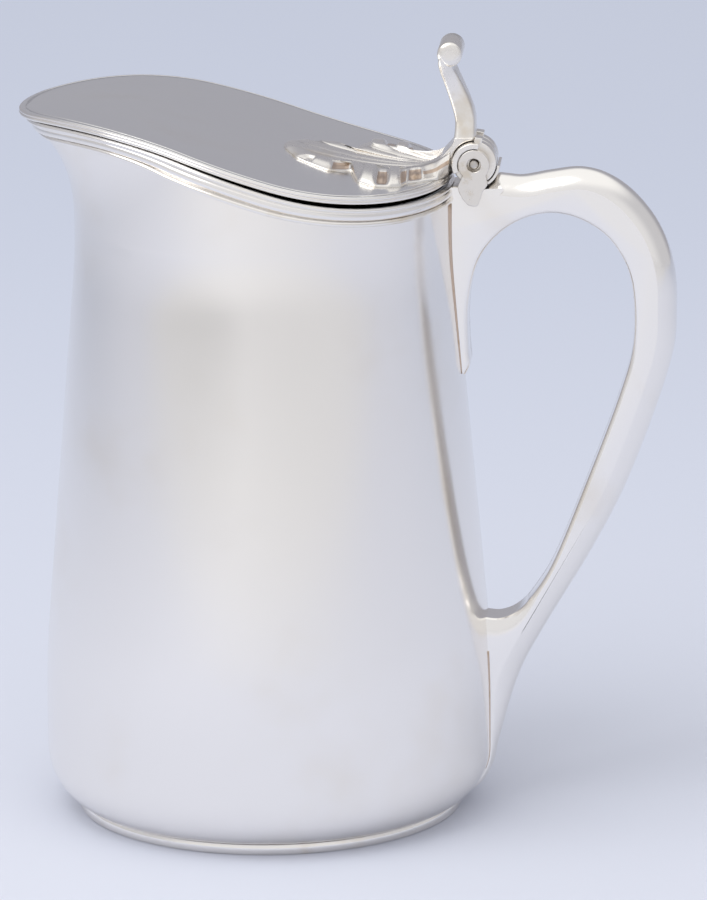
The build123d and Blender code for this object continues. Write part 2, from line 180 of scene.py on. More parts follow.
world = bpy.data.worlds.new("studio")
bpy.context.scene.world = world
t = Tree(world)
aim = t.node("ShaderNodeTexCoord", output="Generated")
height = t.node("ShaderNodeSeparateXYZ", None, [aim], "Z")
behind = t.node("ShaderNodeSeparateXYZ", None, [aim], "Y")
wall_tone = t.blend(behind.ramp(back_from, back_to), room_tone, wall_grey)
wall_tone = t.blend(behind.ramp(front_from, front_to), front_tone, wall_tone)
sky = t.blend(height.ramp(wall_top, ceiling_start), wall_tone, ceiling_white)
glow = t.node("ShaderNodeBackground", None, {"Color": sky, "Strength": 1.0})
t.finish("World", Surface=glow)

lamp_data = bpy.data.lights.new("soft_lamp", "AREA")
lamp_data.energy = lamp_power
lamp_data.size = lamp_size
lamp = bpy.data.objects.new("soft_lamp", lamp_data)
lamp.location = lamp_place
lamp.rotation_euler = (lamp_aim - lamp_place).to_track_quat("-Z", "Y").to_euler()
bpy.context.collection.objects.link(lamp)


# The body.  One sheet, spun to a tapered jug with a rounded shoulder, its lip drawn out to a short
# flared spout and its rim cut to a saddle line.  Polished silver plate, worn to a soft sheen.

belly_radius = 49.35
belly_start = 14.0
belly_end = 24.0
shoulder_radius = 13.3
taper_start = 44.0
taper_end = 120.0
neck_start = 132.0
foot_height = 2.8
wall = 1.0
mouth_radius = 41.5
mouth_side_radius = 73.0
spout_tip_radius = 25.0
spout_reach = 53.1
spout_round = 157.0
flare_low = 0.15
flare_power = 3.0
spread_low = 0.25
ease_power = 1.7
neck_radius = 41.3
back_points, side_points, tip_points = 40, 34, 22
half_points = back_points + side_points + tip_points
ring_points = 2 * half_points
shoulder_rows, taper_rows, neck_rows = 14, 40, 24


def hull_arcs(back, side, tip, reach):
    """The side arc's centre and the two directions in which it meets the back and tip arcs."""
    far = side - back
    near = side - tip
    tip_x = tip - reach
    sx = (far ** 2 - near ** 2 + tip_x ** 2) / (2 * tip_x)
    sy = -sqrt(max(far ** 2 - sx ** 2, 0))
    return sx, sy, atan2(-sy, -sx), atan2(-sy, tip_x - sx)


def hull_point(i, back, side, tip, reach, arcs):
    """Point i of a plan outline, counted from the handle's side over +Y and back over -Y."""
    flip = i > half_points
    i = ring_points - i if flip else i
    sx, sy, back_turn, tip_turn = arcs
    if i <= back_points:
        turn, cx, cy, radius = back_turn * i / back_points, 0, 0, back
    elif i <= back_points + side_points:
        share = (i - back_points) / side_points
        turn, cx, cy, radius = back_turn + (tip_turn - back_turn) * share, sx, sy, side
    else:
        share = (i - back_points - side_points) / tip_points
        turn, cx, cy, radius = tip_turn + (pi - tip_turn) * share, tip - reach, 0, tip
    x, y = cx + radius * cos(turn), cy + radius * sin(turn)
    return x, (-y if flip else y)


def neck_sizes(share):
    """The back, side and tip radii and the reach of the neck's plan at a share of its height."""
    soft = share ** ease_power
    flare = flare_low * soft + (1 - flare_low) * share ** flare_power
    spread = spread_low * soft + (1 - spread_low) * share ** 2
    return [neck_radius,
            neck_radius + (mouth_side_radius - mouth_radius) * spread,
            neck_radius - (mouth_radius - spout_tip_radius) * spread,
            neck_radius + (spout_reach - mouth_radius) * flare]


round_arcs = hull_arcs(*neck_sizes(0.001))


def body_radius(z):
    """The body's outer radius under the neck."""
    slope = 2 * (belly_radius - neck_radius) / (taper_end + neck_start - taper_start - belly_end)
    if z < belly_start:
        return belly_radius - shoulder_radius + sqrt(shoulder_radius ** 2 - (belly_start - z) ** 2)
    if z < belly_end:
        return belly_radius
    if z < taper_start:
        return belly_radius - slope * (z - belly_end) ** 2 / 2 / (taper_start - belly_end)
    if z < taper_end:
        return belly_radius - slope * ((taper_start - belly_end) / 2 + z - taper_start)
    return neck_radius + slope * (neck_start - z) ** 2 / 2 / (neck_start - taper_end)


def skin_point(i, z, grow):
    """A point on the jug's skin, or on a skin grown or shrunk by a distance."""
    if z <= neck_start:
        radius = body_radius(z) + grow
        x, y = hull_point(i, radius, radius, radius, radius, (0, 0, round_arcs[2], round_arcs[3]))
    else:
        sizes = [size + grow for size in neck_sizes((z - neck_start) / (spout_round - neck_start))]
        x, y = hull_point(i, *sizes, hull_arcs(*sizes))
    return x, y, z


crest_x, crest_z = -40.0, 158.9
trough_x, trough_z = 38.0, 143.9
fall_length = 19.0
crest_share = 0.44
lid_wire_height = 1.9
lid_gap_front, lid_gap_back = 0.3, 0.9
rim_steps, rim_step_share = 30, 0.6


def saddle(x, down_front=0.0, down_back=0.0):
    """The lid's top line seen from the side: a crest arc, a straight fall and a trough arc."""
    high, low = crest_z - down_front, trough_z - down_back
    width, drop = trough_x - crest_x, high - low
    half_fall = atan2(drop, width + fall_length)
    fall = 2 * half_fall
    radii = (width - drop / tan(fall)) / tan(half_fall)
    crest_radius, trough_radius = radii * crest_share, radii * (1 - crest_share)
    first, last = crest_x + crest_radius * sin(fall), trough_x - trough_radius * sin(fall)
    if x < first:
        return high - crest_radius + sqrt(crest_radius ** 2 - (x - crest_x) ** 2)
    if x > last:
        return low + trough_radius - sqrt(trough_radius ** 2 - (x - trough_x) ** 2)
    start = high - crest_radius * (1 - cos(fall))
    return start - (x - first) * tan(fall)


def rim_height(i):
    """Where the rim line meets the skin at point i, found in small steps."""
    z = trough_z
    for step in range(rim_steps):
        x = skin_point(i, z, 0)[0]
        line_z = saddle(x, lid_wire_height + lid_gap_front, lid_wire_height + lid_gap_back)
        z += rim_step_share * (line_z - z)
    return z


rim = [rim_height(i) for i in range(ring_points)]


def make_piece(name, verts, faces):
    """A mesh piece from millimetre points."""
    mesh = bpy.data.meshes.new(name)
    mesh.from_pydata([(x * mm, y * mm, z * mm) for x, y, z in verts], [], faces)
    obj = bpy.data.objects.new(name, mesh)
    bpy.context.collection.objects.link(obj)
    mesh.polygons.foreach_set("use_smooth", [True] * len(mesh.polygons))
    return obj


def ring_faces(rows, around, closed=True):
    """Quads between rings of points, and from the last ring back to the first."""
    faces = []
    for row in range(rows if closed else rows - 1):
        a, b = row * around, (row + 1) % rows * around
        for i in range(around):
            j = (i + 1) % around
            faces.append((a + i, a + j, b + j, b + i))
    return faces


def outward(obj):
    """Turns every face of a closed piece outwards."""
    b = bmesh.new()
    b.from_mesh(obj.data)
    bmesh.ops.recalc_face_normals(b, faces=b.faces)
    b.to_mesh(obj.data)
    b.free()
    return obj


def body_rows(grow):
    """Rings of the skin from the foot to the rim."""
    drop = belly_start - foot_height
    shoulder = [belly_start - drop * cos(pi / 2 * k / shoulder_rows) for k in range(shoulder_rows + 1)]
    straight = [belly_start + (neck_start - belly_start) * k / taper_rows for k in range(1, taper_rows + 1)]
    rows = [[skin_point(i, z, grow) for i in range(ring_points)] for z in shoulder + straight]
    for k in range(1, neck_rows + 1):
        rows.append([skin_point(i, neck_start + (rim[i] - neck_start) * k / neck_rows, grow)
                     for i in range(ring_points)])
    return rows


outside, inside = body_rows(0), body_rows(-wall)
rings = outside + inside[::-1]
body_shell = make_piece("jug_body", [p for ring in rings for p in ring],
                        ring_faces(len(rings), ring_points))
outward(body_shell)
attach(body_shell, "pitcher")
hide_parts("body_shell")


wiping_stretch = (900, 900, 40)
tarnish_tone = (0.86, 0.80, 0.70)
stain_from, stain_to = 0.52, 0.74
smudge_from, smudge_to = 0.35, 0.7
smudge_gloss, wiping_gloss = 0.05, 0.03
wiping_depth = 0.012


def silver(name, tint, rough, tarnish, smudge_size=22.0):
    """Polished silver plate: smudges and fine wiping marks change the gloss, and tarnish stains it."""
    made = bpy.data.materials.new(name)
    t = Tree(made)
    place = t.node("ShaderNodeTexCoord", output="Object")
    smudge = t.node("ShaderNodeTexNoise", None,
                    {"Vector": place, "Scale": smudge_size, "Detail": 4.0, "Roughness": 0.6}, "Fac")
    stretched = t.node("ShaderNodeMapping", None, {"Vector": place, "Scale": wiping_stretch})
    wiping = t.node("ShaderNodeTexNoise", None,
                    {"Vector": stretched, "Scale": 1.0, "Detail": 3.0}, "Fac")
    stain = (smudge.ramp(stain_from, stain_to) * tarnish).clamp()
    stained = [channel * tone for channel, tone in zip(tint, tarnish_tone)]
    colour = t.blend(stain, (*tint, 1), (*stained, 1))
    gloss = rough + smudge_gloss * smudge.ramp(smudge_from, smudge_to) + wiping_gloss * wiping
    bump = t.node("ShaderNodeBump", None,
                  {"Strength": wiping_depth, "Distance": 0.0002, "Height": wiping}, "Normal")
    shader = t.node("ShaderNodeBsdfPrincipled", None,
                    {"Base Color": colour, "Metallic": 1.0, "Roughness": gloss, "Normal": bump})
    t.finish("Material", Surface=shader)
    return made


body_silver = silver("body_silver", (0.93, 0.905, 0.875), 0.12, 0.3)
body_shell.data.materials.append(body_silver)


# The mouldings of the mouth.  A broad convex band with one fine reed above it is soldered round the
# rim, and a thinner bead runs under it.  A moulding's sizes: how far it lies under the rim and out
# from the skin, its half width and its half height.

reed_sizes = (0.42, 0.12, 0.42, 0.4)
swell_sizes = (1.68, 0.02, 0.58, 0.92)
bead_sizes = (3.2, 0.25, 0.6, 0.56)
band_section = ((0.0, 0.0), (0.0, 0.2), (0.3, 0.3), (2.3, 0.3), (2.6, 0.2), (2.6, 0.0))
moulding_sides = 24


def rim_line(drop, grow):
    """A closed line on the skin, parallel to the rim."""
    return [skin_point(i, rim[i] - drop, grow) for i in range(ring_points)]


def sweep_tree():
    """A node tree that draws an oval moulding along a closed line and keeps it upright."""
    tree = bpy.data.node_groups.new("moulding_sweep", "GeometryNodeTree")
    face = tree.interface
    face.new_socket("Geometry", in_out="INPUT", socket_type="NodeSocketGeometry")
    face.new_socket("Half Width", in_out="INPUT", socket_type="NodeSocketFloat")
    face.new_socket("Half Height", in_out="INPUT", socket_type="NodeSocketFloat")
    face.new_socket("Sides", in_out="INPUT", socket_type="NodeSocketInt")
    face.new_socket("Metal", in_out="INPUT", socket_type="NodeSocketMaterial")
    face.new_socket("Geometry", in_out="OUTPUT", socket_type="NodeSocketGeometry")
    start = tree.nodes.new("NodeGroupInput")
    end = tree.nodes.new("NodeGroupOutput")
    curve = tree.nodes.new("GeometryNodeMeshToCurve")
    upright = tree.nodes.new("GeometryNodeSetCurveNormal")
    upright.mode = "Z_UP"
    circle = tree.nodes.new("GeometryNodeCurvePrimitiveCircle")
    circle.inputs["Radius"].default_value = 1.0
    size = tree.nodes.new("ShaderNodeCombineXYZ")
    size.inputs["Z"].default_value = 1.0
    oval = tree.nodes.new("GeometryNodeTransform")
    sweep = tree.nodes.new("GeometryNodeCurveToMesh")
    real = tree.nodes.new("GeometryNodeRealizeInstances")
    metal = tree.nodes.new("GeometryNodeSetMaterial")
    for out, out_name, into, in_name in (
            (start, "Geometry", curve, "Mesh"), (curve, "Curve", upright, "Curve"),
            (upright, "Curve", sweep, "Curve"), (start, "Sides", circle, "Resolution"),
            (circle, "Curve", oval, "Geometry"), (start, "Half Width", size, "X"),
            (start, "Half Height", size, "Y"), (size, "Vector", oval, "Scale"),
            (oval, "Geometry", sweep, "Profile Curve"), (sweep, "Mesh", real, "Geometry"),
            (real, "Geometry", metal, "Geometry"), (start, "Metal", metal, "Material"),
            (metal, "Geometry", end, "Geometry")):
        tree.links.new(out.outputs[out_name], into.inputs[in_name])
    return tree


moulding_tree = sweep_tree()


def moulding(name, line, half_width, half_height, material):
    """One moulding along a closed line, made a plain mesh."""
    mesh = bpy.data.meshes.new(name)
    count = len(line)
    mesh.from_pydata([(x * mm, y * mm, z * mm) for x, y, z in line],
                     [(i, (i + 1) % count) for i in range(count)], [])
    obj = bpy.data.objects.new(name, mesh)
    bpy.context.collection.objects.link(obj)
    made = obj.modifiers.new("moulding", "NODES")
    made.node_group = moulding_tree
    given = {"Half Width": half_width * mm, "Half Height": half_height * mm, "Metal": material,
             "Sides": moulding_sides}
    for item in moulding_tree.interface.items_tree:
        if item.in_out == "INPUT" and item.name in given:
            made[item.identifier] = given[item.name]
    plain = bpy.data.meshes.new_from_object(obj.evaluated_get(bpy.context.evaluated_depsgraph_get()))
    obj.modifiers.clear()
    obj.data = plain
    plain.polygons.foreach_set("use_smooth", [True] * len(plain.polygons))
    return outward(obj)


def ribbon(name, rows, material):
    """A closed ring piece whose section is given by rings of points."""
    piece = make_piece(name, [p for ring in rows for p in ring], ring_faces(len(rows), ring_points))
    piece.data.materials.append(material)
    return outward(piece)


def join(name, pieces):
    """Joins pieces into the first one."""
    with bpy.context.temp_override(active_object=pieces[0], object=pieces[0],
                                   selected_editable_objects=pieces, selected_objects=pieces):
        bpy.ops.object.join()
    pieces[0].name = name
    return pieces[0]


def place_piece(piece, body, node):
    """Puts a finished piece on its body, in place of a solid of the frame."""
    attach(piece, body)
    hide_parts(node)


seam_silver = silver("seam_silver", (0.93, 0.90, 0.86), 0.11, 1.0, 60.0)
band_back = ribbon("band_back", [rim_line(drop, grow) for drop, grow in band_section], body_silver)
mouth_band = join("rim_band", [
    band_back, moulding("band_reed", rim_line(*reed_sizes[:2]), *reed_sizes[2:], body_silver),
    moulding("band_swell", rim_line(*swell_sizes[:2]), *swell_sizes[2:], body_silver)])
place_piece(mouth_band, "pitcher", "mouth_band")
mouth_bead = moulding("rim_bead", rim_line(*bead_sizes[:2]), *bead_sizes[2:], seam_silver)
place_piece(mouth_bead, "pitcher", "mouth_bead")


# The lid.  A thin polished sheet, bent to the saddle line, with a reeded wire soldered round its
# edge.  The wire's sizes: how far out from the mouth line and under the saddle line, and halves.

lid_wire_width = 1.6
lid_plate_thickness = 0.9
lid_plate_set_down = 0.3
lid_rings = 44
wire_reed_sizes = (-0.4, 0.74, 0.36, 0.3)
wire_swell_sizes = (-0.5, 1.42, 0.5, 0.46)
wire_section = ((-1.6, 0.3), (-0.95, 0.3), (-0.6, 0.37), (-0.38, 0.6), (-0.3, 0.9), (-0.3, 1.6),
                (-0.5, 1.88), (-1.6, 1.88))


def mouth_point(i, grow, drop):
    """A point over the mouth outline, a little under the lid's top line."""
    sizes = [mouth_radius + grow, mouth_side_radius + grow, spout_tip_radius + grow, spout_reach + grow]
    x, y = hull_point(i, *sizes, hull_arcs(*sizes))
    return x, y, saddle(x) - drop


def lid_line(grow, drop):
    """A closed line that follows the mouth outline under the lid's top line."""
    return [mouth_point(i, grow, drop) for i in range(ring_points)]


def lid_sheet(drop, shares):
    """Rings of one face of the sheet, from the wire towards the middle."""
    rows = []
    for share in shares:
        edge = lid_line(-lid_wire_width, 0)
        rows.append([(x * share, y * share, saddle(x * share) - drop) for x, y, z in edge])
    return rows


shares = [k / lid_rings for k in range(lid_rings, 0, -1)]
top = lid_sheet(lid_plate_set_down, shares)
under = lid_sheet(lid_plate_set_down + lid_plate_thickness, shares)
rows = under[::-1] + top
verts = [p for ring in rows for p in ring]
faces = ring_faces(len(rows), ring_points, closed=False)
centre_under, centre_top = len(verts), len(verts) + 1
centre_z = saddle(0) - lid_plate_set_down
verts += [(0, 0, centre_z - lid_plate_thickness), (0, 0, centre_z)]
last = (len(rows) - 1) * ring_points
for i in range(ring_points):
    j = (i + 1) % ring_points
    faces.append((centre_under, j, i))
    faces.append((centre_top, last + i, last + j))
lid_plate = outward(make_piece("lid_sheet_metal", verts, faces))
lid_silver = silver("lid_silver", (0.93, 0.92, 0.90), 0.16, 0.2, 30.0)
lid_plate.data.materials.append(lid_silver)
place_piece(lid_plate, "lid", "lid_plate")

wire_back = ribbon("wire_back", [lid_line(grow, drop) for grow, drop in wire_section], lid_silver)
lid_wire = join("lid_edge_wire", [
    wire_back, moulding("wire_reed", lid_line(*wire_reed_sizes[:2]), *wire_reed_sizes[2:], body_silver),
    moulding("wire_swell", lid_line(*wire_swell_sizes[:2]), *wire_swell_sizes[2:], body_silver)])
place_piece(lid_wire, "lid", "lid_wire")


# The foot.  A rounded wire ring, soldered under the shoulder, that the jug stands on, and the flat
# base plate that closes the bottom inside it.  Both are silver plate, stained at the seam.

foot_step = 0.6
foot_width = 2.4
foot_play = 0.02
base_thickness = 1.0
base_play = 0.6


def lathe(name, section, material, around=160):
    """A closed section of radius and height pairs, turned round the Z axis."""
    verts = [(r * cos(2 * pi * i / around), r * sin(2 * pi * i / around), z)
             for r, z in section for i in range(around)]
    piece = make_piece(name, verts, ring_faces(len(section), around))
    piece.data.materials.append(material)
    return outward(piece)


foot_radius = body_radius(foot_height) - foot_step
foot_ring = lathe("foot_wire", [
    (foot_radius - foot_width, 0.5), (foot_radius - foot_width + 0.4, 0), (foot_radius - 0.7, 0),
    (foot_radius - 0.25, 0.2), (foot_radius, 0.7), (foot_radius, 1.5), (foot_radius - 0.12, 2.2),
    (foot_radius - 0.5, foot_height - foot_play),
    (foot_radius - foot_width, foot_height - foot_play)], seam_silver)
place_piece(foot_ring, "pitcher", "foot_ring")
base_radius = body_radius(foot_height) - wall - base_play
base_plate = lathe("base_sheet", [(0.01, foot_height), (base_radius, foot_height),
                                  (base_radius, foot_height + base_thickness),
                                  (0.01, foot_height + base_thickness)], seam_silver)
place_piece(base_plate, "pitcher", "base_plate")


# The palmette strap.  One casting on the lid: a lobed leaf with ridges that run to the lever's root,
# and a pierced-looking wall of cells, blocks and a boss round its edge, brown in its recesses.

cast_silver = silver("cast_silver", (0.87, 0.84, 0.80), 0.24, 0.8, 110.0)
brown_silver = silver("brown_silver", (0.60, 0.48, 0.39), 0.32, 1.0, 400.0)

# The wall's base point, the top point and the height there, from the tip round to the root.
stations = [((4.8, 0.0), (6.7, 0.0), 0.9), ((5.3, 3.2), (7.4, 2.9), 0.9), ((8.2, 9.2), (10.7, 6.6), 0.9),
            ((11.2, 11.3), (12.7, 7.4), 1.1), ((15.4, 13.9), (15.8, 8.9), 1.3),
            ((20.0, 9.9), (19.9, 6.4), 1.3), ((20.8, 14.5), (21.3, 7.8), 1.6),
            ((22.1, 19.6), (23.0, 10.1), 1.8), ((25.9, 22.0), (25.8, 10.9), 1.8),
            ((28.7, 21.2), (28.2, 10.6), 1.8), ((31.4, 19.6), (30.7, 9.9), 1.8),
            ((32.4, 16.4), (32.2, 8.6), 1.8), ((36.0, 13.6), (35.2, 7.2), 2.0),
            ((38.8, 11.6), (38.0, 6.0), 2.7), ((40.9, 7.6), (41.2, 5.0), 4.4)]
station_steps = 9
top_rows, wall_rows, under_rows = 16, 10, 8
root_height = 5.4
hollow = 0.25
ridge_height = 0.4
ridge_pitch = 1.87
root_x, root_lean, root_half_width = 41.2, 0.5, 4.6
leaf_bed = 0.29
sunk_steps = {2: -0.9, 4: -0.9, 8: -1.1, 10: -0.8, 11: -0.9, 12: -0.35}
brown_steps = (4, 8, 10, 11)
bar_step, bar_bead = 3, 0.18
lobe_step, lobe_swell = 5, 0.35
block_steps, block_swell, block_rise = (7, 9), 0.75, 0.45
boss_steps, boss_swell = (8, 11), 0.7
web_step = 12


def ease(low, high, value):
    """0 at low, 1 at high, and smooth between them."""
    share = min(max((value - low) / (high - low), 0), 1)
    return share * share * (3 - 2 * share)


def plateau(edge, share):
    """Rises over the first part of a step and falls over its last part."""
    return ease(0, edge, share) * ease(1, 1 - edge, share)


def relief(u, t):
    """How far the wall stands out at station coordinate u and share t of its height."""
    step = min(int(u), len(stations) - 2)
    share = u - step
    if step in (lobe_step, lobe_step + 1):
        return lobe_swell * sin(pi * (u - lobe_step) / 2) * sin(pi * t)
    if step in block_steps:
        return block_swell * plateau(0.18, share) * sin(pi * t) ** 0.7
    if step == bar_step:
        return bar_bead * sin(2 * pi * t)
    cell = plateau(0.25, share) * ease(0.1, 0.3, t) * ease(0.95, 0.75, t)
    boss = 0
    if step in boss_steps:
        boss = boss_swell * max(1 - ((share - 0.5) / 0.3) ** 2 - ((t - 0.5) / 0.25) ** 2, 0)
    return sunk_steps.get(step, 0) * cell + boss


def block_lift(u):
    """How far the two blocks of the wall rise above its top edge."""
    return block_rise * plateau(0.14, u - int(u)) if int(u) in block_steps else 0


def station_at(u):
    """The base point, the top point and the edge height at a station coordinate."""
    step = min(int(u), len(stations) - 2)
    share = u - step
    (bx, by), (tx, ty), h = stations[step]
    (cx, cy), (ux, uy), g = stations[step + 1]
    return (bx + (cx - bx) * share, by + (cy - by) * share,
            tx + (ux - tx) * share, ty + (uy - ty) * share, h + (g - h) * share)


def palmette_column(u):
    """The points of one side's casting from the lever's root over the top edge to the lid."""
    bx, by, tx, ty, edge = station_at(u)
    nx, ny = bx - tx, by - ty
    length = sqrt(nx * nx + ny * ny)
    nx, ny = nx / length, ny / length
    share = u / (len(stations) - 1)
    rx, ry = root_x + root_lean * share, root_half_width * share ** 0.8
    points = []
    # The ridged top, from the root out to the edge.
    for k in range(top_rows + 1):
        s = k / top_rows
        x, y = rx + (tx - rx) * s, ry + (ty - ry) * s
        height = hollow + (edge - hollow) * s ** 1.5 + (root_height - hollow) * (1 - s) ** 10
        ridge = ridge_height * ease(0.02, 0.4, s) * (abs(cos(pi * u / ridge_pitch)) ** 0.5 - 0.8)
        ridge *= 1 - ease(0.96, 1.0, s)
        points.append((x, y, saddle(x) + height + ridge + block_lift(u) * ease(0.82, 0.97, s)))
    # The wall, from the edge down to the lid.
    for k in range(1, wall_rows + 1):
        t = k / wall_rows
        out = 0.5 * t + 0.5 * sin(t * pi / 2)
        fall = 0.5 * t + 0.5 * (1 - cos(t * pi / 2))
        lift = relief(u, t)
        x, y = tx + (bx - tx) * out + nx * lift * 0.6, ty + (by - ty) * out + ny * lift * 0.6
        z = saddle(x) + edge + (0.05 - edge) * fall + lift * 0.5 + block_lift(u) * (1 - t ** 3)
        points.append((x, y, max(z, saddle(x) - 0.25)))
    # The underside, sunk into the lid and back to the root.
    for k in range(under_rows + 1):
        x, y = bx + (rx - bx) * k / under_rows, by + (ry - by) * k / under_rows
        points.append((x, y, saddle(x) - leaf_bed))
    return points


columns = [palmette_column(k / station_steps) for k in range((len(stations) - 1) * station_steps + 1)]
columns = [[(x, -y, z) for x, y, z in column] for column in columns[:0:-1]] + columns
tall = len(columns[0])
verts = [p for column in columns for p in column]
faces, brown = [], []
for c in range(len(columns) - 1):
    u = abs((c + 0.5) / station_steps - (len(stations) - 1))
    for r in range(tall):
        q = (r + 1) % tall
        faces.append((c * tall + r, (c + 1) * tall + r, (c + 1) * tall + q, c * tall + q))
        t = (r + 0.5 - top_rows) / wall_rows
        share = u - int(u)
        deep = int(u) in brown_steps and 0.15 < share < 0.85 and 0.2 < t < 0.85
        brown.append(1 if deep or (int(u) >= web_step and 0.35 < t < 0.6) else 0)
faces += [list(range(tall)), [(len(columns) - 1) * tall + r for r in range(tall)]]
brown += [0, 0]
leaf = make_piece("palmette_leaf", verts, faces)
leaf.data.materials.append(cast_silver)
leaf.data.materials.append(brown_silver)
leaf.data.polygons.foreach_set("material_index", brown)


def side_block(name, outline, y_from, y_to, soft, material):
    """A piece with an outline drawn from the side, between two Y values, with softened edges."""
    count = len(outline)
    verts = [(x, y, z) for y in (y_from, y_to) for x, z in outline]
    faces = [list(range(count)), list(range(2 * count - 1, count - 1, -1))]
    faces += [(i, (i + 1) % count, count + (i + 1) % count, count + i) for i in range(count)]
    piece = outward(make_piece(name, verts, faces))
    piece.data.materials.append(material)
    return soften(piece, soft)


def soften(piece, width, angle=32):
    """Rounds the edges of a piece and shades it smooth."""
    bevel = piece.modifiers.new("bevel", "BEVEL")
    bevel.width = width * mm
    bevel.segments = 3
    bevel.limit_method = "ANGLE"
    bevel.angle_limit = radians(angle)
    bevel.use_clamp_overlap = True
    bevel.harden_normals = True
    plain = bpy.data.meshes.new_from_object(piece.evaluated_get(bpy.context.evaluated_depsgraph_get()))
    piece.modifiers.clear()
    piece.data = plain
    return piece


pin_x, pin_z = 46.4, 145.9
barrel_radius = 4.8
barrel_gap = 0.15
lid_far = 4.75
root_z = 151.6
root_soft = 0.5


def arc(cx, cz, radius, turn_from, turn_to, steps):
    """Points on an arc seen from the side, angles in degrees above +X."""
    return [(cx + radius * cos(radians(turn_from + (turn_to - turn_from) * k / steps)),
             cz + radius * sin(radians(turn_from + (turn_to - turn_from) * k / steps)))
            for k in range(steps + 1)]


root_outline = [(42.1, root_z), (41.85, 150.6), (41.3, 149.6), (40.4, 148.6), (39.3, 147.3), (38.5, 146.0),
                (38.1, 144.8), (38.0, 143.7), (39.6, 143.65), (40.8, 144.2)]
root_outline += arc(pin_x, pin_z, barrel_radius + barrel_gap, 188, 93, 12)
root_outline += [(46.5, root_z)]
lever_root = side_block("lever_root", root_outline, -lid_far, lid_far, root_soft, cast_silver)
strap = join("palmette_strap", [leaf, lever_root])
place_piece(strap, "lid", "lid_strap")


# The thumb-piece.  A cast silver lever with soft edges, waisted in the middle, that rises from the
# strap's root and ends in a broad roll.  Its points: X, Z, half thickness and half width.

lever_line = [(44.3, 151.2, 2.4, 4.7), (44.35, 153.2, 2.25, 4.1), (44.35, 155.0, 2.2, 3.6),
              (43.9, 157.2, 2.15, 3.3), (43.1, 159.6, 2.05, 3.2), (42.2, 162.0, 1.9, 3.4),
              (41.25, 164.4, 1.75, 3.9), (40.5, 166.3, 1.6, 4.9), (40.2, 168.2, 1.6, 5.8),
              (40.7, 170.4, 1.6, 5.85)]
lever_squareness = 7
head_x, head_z, head_radius, head_half_width = 41.2, 170.0, 2.7, 6.0
head_edge = 1.7


def smooth_line(points, steps):
    """Passes a smooth line through the points, every value of a point alike."""
    out = []
    for i in range(len(points) - 1):
        p0, p1 = points[max(i - 1, 0)], points[i]
        p2, p3 = points[i + 1], points[min(i + 2, len(points) - 1)]
        for k in range(steps):
            t = k / steps
            out.append(tuple(0.5 * (2 * b + (c - a) * t + (2 * a - 5 * b + 4 * c - d) * t * t
                                    + (3 * b - a - 3 * c + d) * t ** 3)
                             for a, b, c, d in zip(p0, p1, p2, p3)))
    return out + [points[-1]]


def soft_corner(turn, power):
    """A point on a rounded square of half size 1."""
    c, s = cos(turn), sin(turn)
    return (abs(c) ** (2 / power) * (1 if c > 0 else -1), abs(s) ** (2 / power) * (1 if s > 0 else -1))


def capped(name, rings, around, material):
    """A closed piece from rings of points, with flat ends."""
    verts = [p for ring in rings for p in ring]
    faces = ring_faces(len(rings), around, closed=False)
    faces.append(list(range(around)))
    faces.append([len(verts) - 1 - i for i in range(around)])
    piece = outward(make_piece(name, verts, faces))
    piece.data.materials.append(material)
    return piece


def side_normal(line, k):
    """The direction to the right of a line drawn from the side, at its point k."""
    ax, az = line[max(k - 1, 0)][:2]
    bx, bz = line[min(k + 1, len(line) - 1)][:2]
    run = sqrt((bx - ax) ** 2 + (bz - az) ** 2)
    return (bz - az) / run, -(bx - ax) / run


def round_ring(cx, cz, radius, y, around):
    """A circle of points about a line along Y."""
    return [(cx + radius * cos(2 * pi * i / around), y, cz + radius * sin(2 * pi * i / around))
            for i in range(around)]


def make_lever(around=40):
    """A rounded square section, drawn along the lever's line."""
    line = smooth_line(lever_line, 6)
    section = [soft_corner(2 * pi * (i + 0.5) / around, lever_squareness) for i in range(around)]
    rings = []
    for k, (x, z, thick, wide) in enumerate(line):
        nx, nz = side_normal(line, k)
        rings.append([(x + nx * p * thick, q * wide, z + nz * p * thick) for p, q in section])
    return capped("lever", rings, around, cast_silver)


def make_roll(around=48):
    """The rolled head, a short bar with rounded ends."""
    ends = [(-head_half_width + 0.5 * head_edge * (1 - cos(radians(a))),
             head_radius - head_edge * (1 - sin(radians(a)))) for a in range(0, 91, 15)]
    ends += [(-y, radius) for y, radius in reversed(ends)]
    return capped("roll", [round_ring(head_x, head_z, radius, y, around) for y, radius in ends],
                  around, cast_silver)


thumb = join("thumb_lever", [make_lever(), make_roll()])
place_piece(thumb, "lid", "thumb_piece")


# The hinge.  Barrels, ears, pin, stop and bracket are filed blocks with rounded edges.  The lid's two
# barrels turn on a steel pin that is let into the eyes of the ears.

pin_steel = silver("pin_steel", (0.62, 0.60, 0.58), 0.3, 0.8, 200.0)
fixed_half = 1.75
lid_near = 1.8
ear_near, ear_far = 4.9, 7.1
ear_radius = 3.4
ear_hole = 1.5
ear_silver = silver("ear_silver", (0.80, 0.765, 0.72), 0.22, 0.8, 260.0)
stop_radius = 5.6
stop_turn = -6
hood_from, hood_to = 75, 205
lug_turn, lug_half_width, lug_reach = 80, 0.85, 5.7
barrel_soft, ear_soft, stem_soft = 0.3, 0.2, 0.2
hood_soft, lug_soft, cheek_soft = 0.25, 0.15, 0.18
hood_lap = 0.4
stem_inset = 0.1

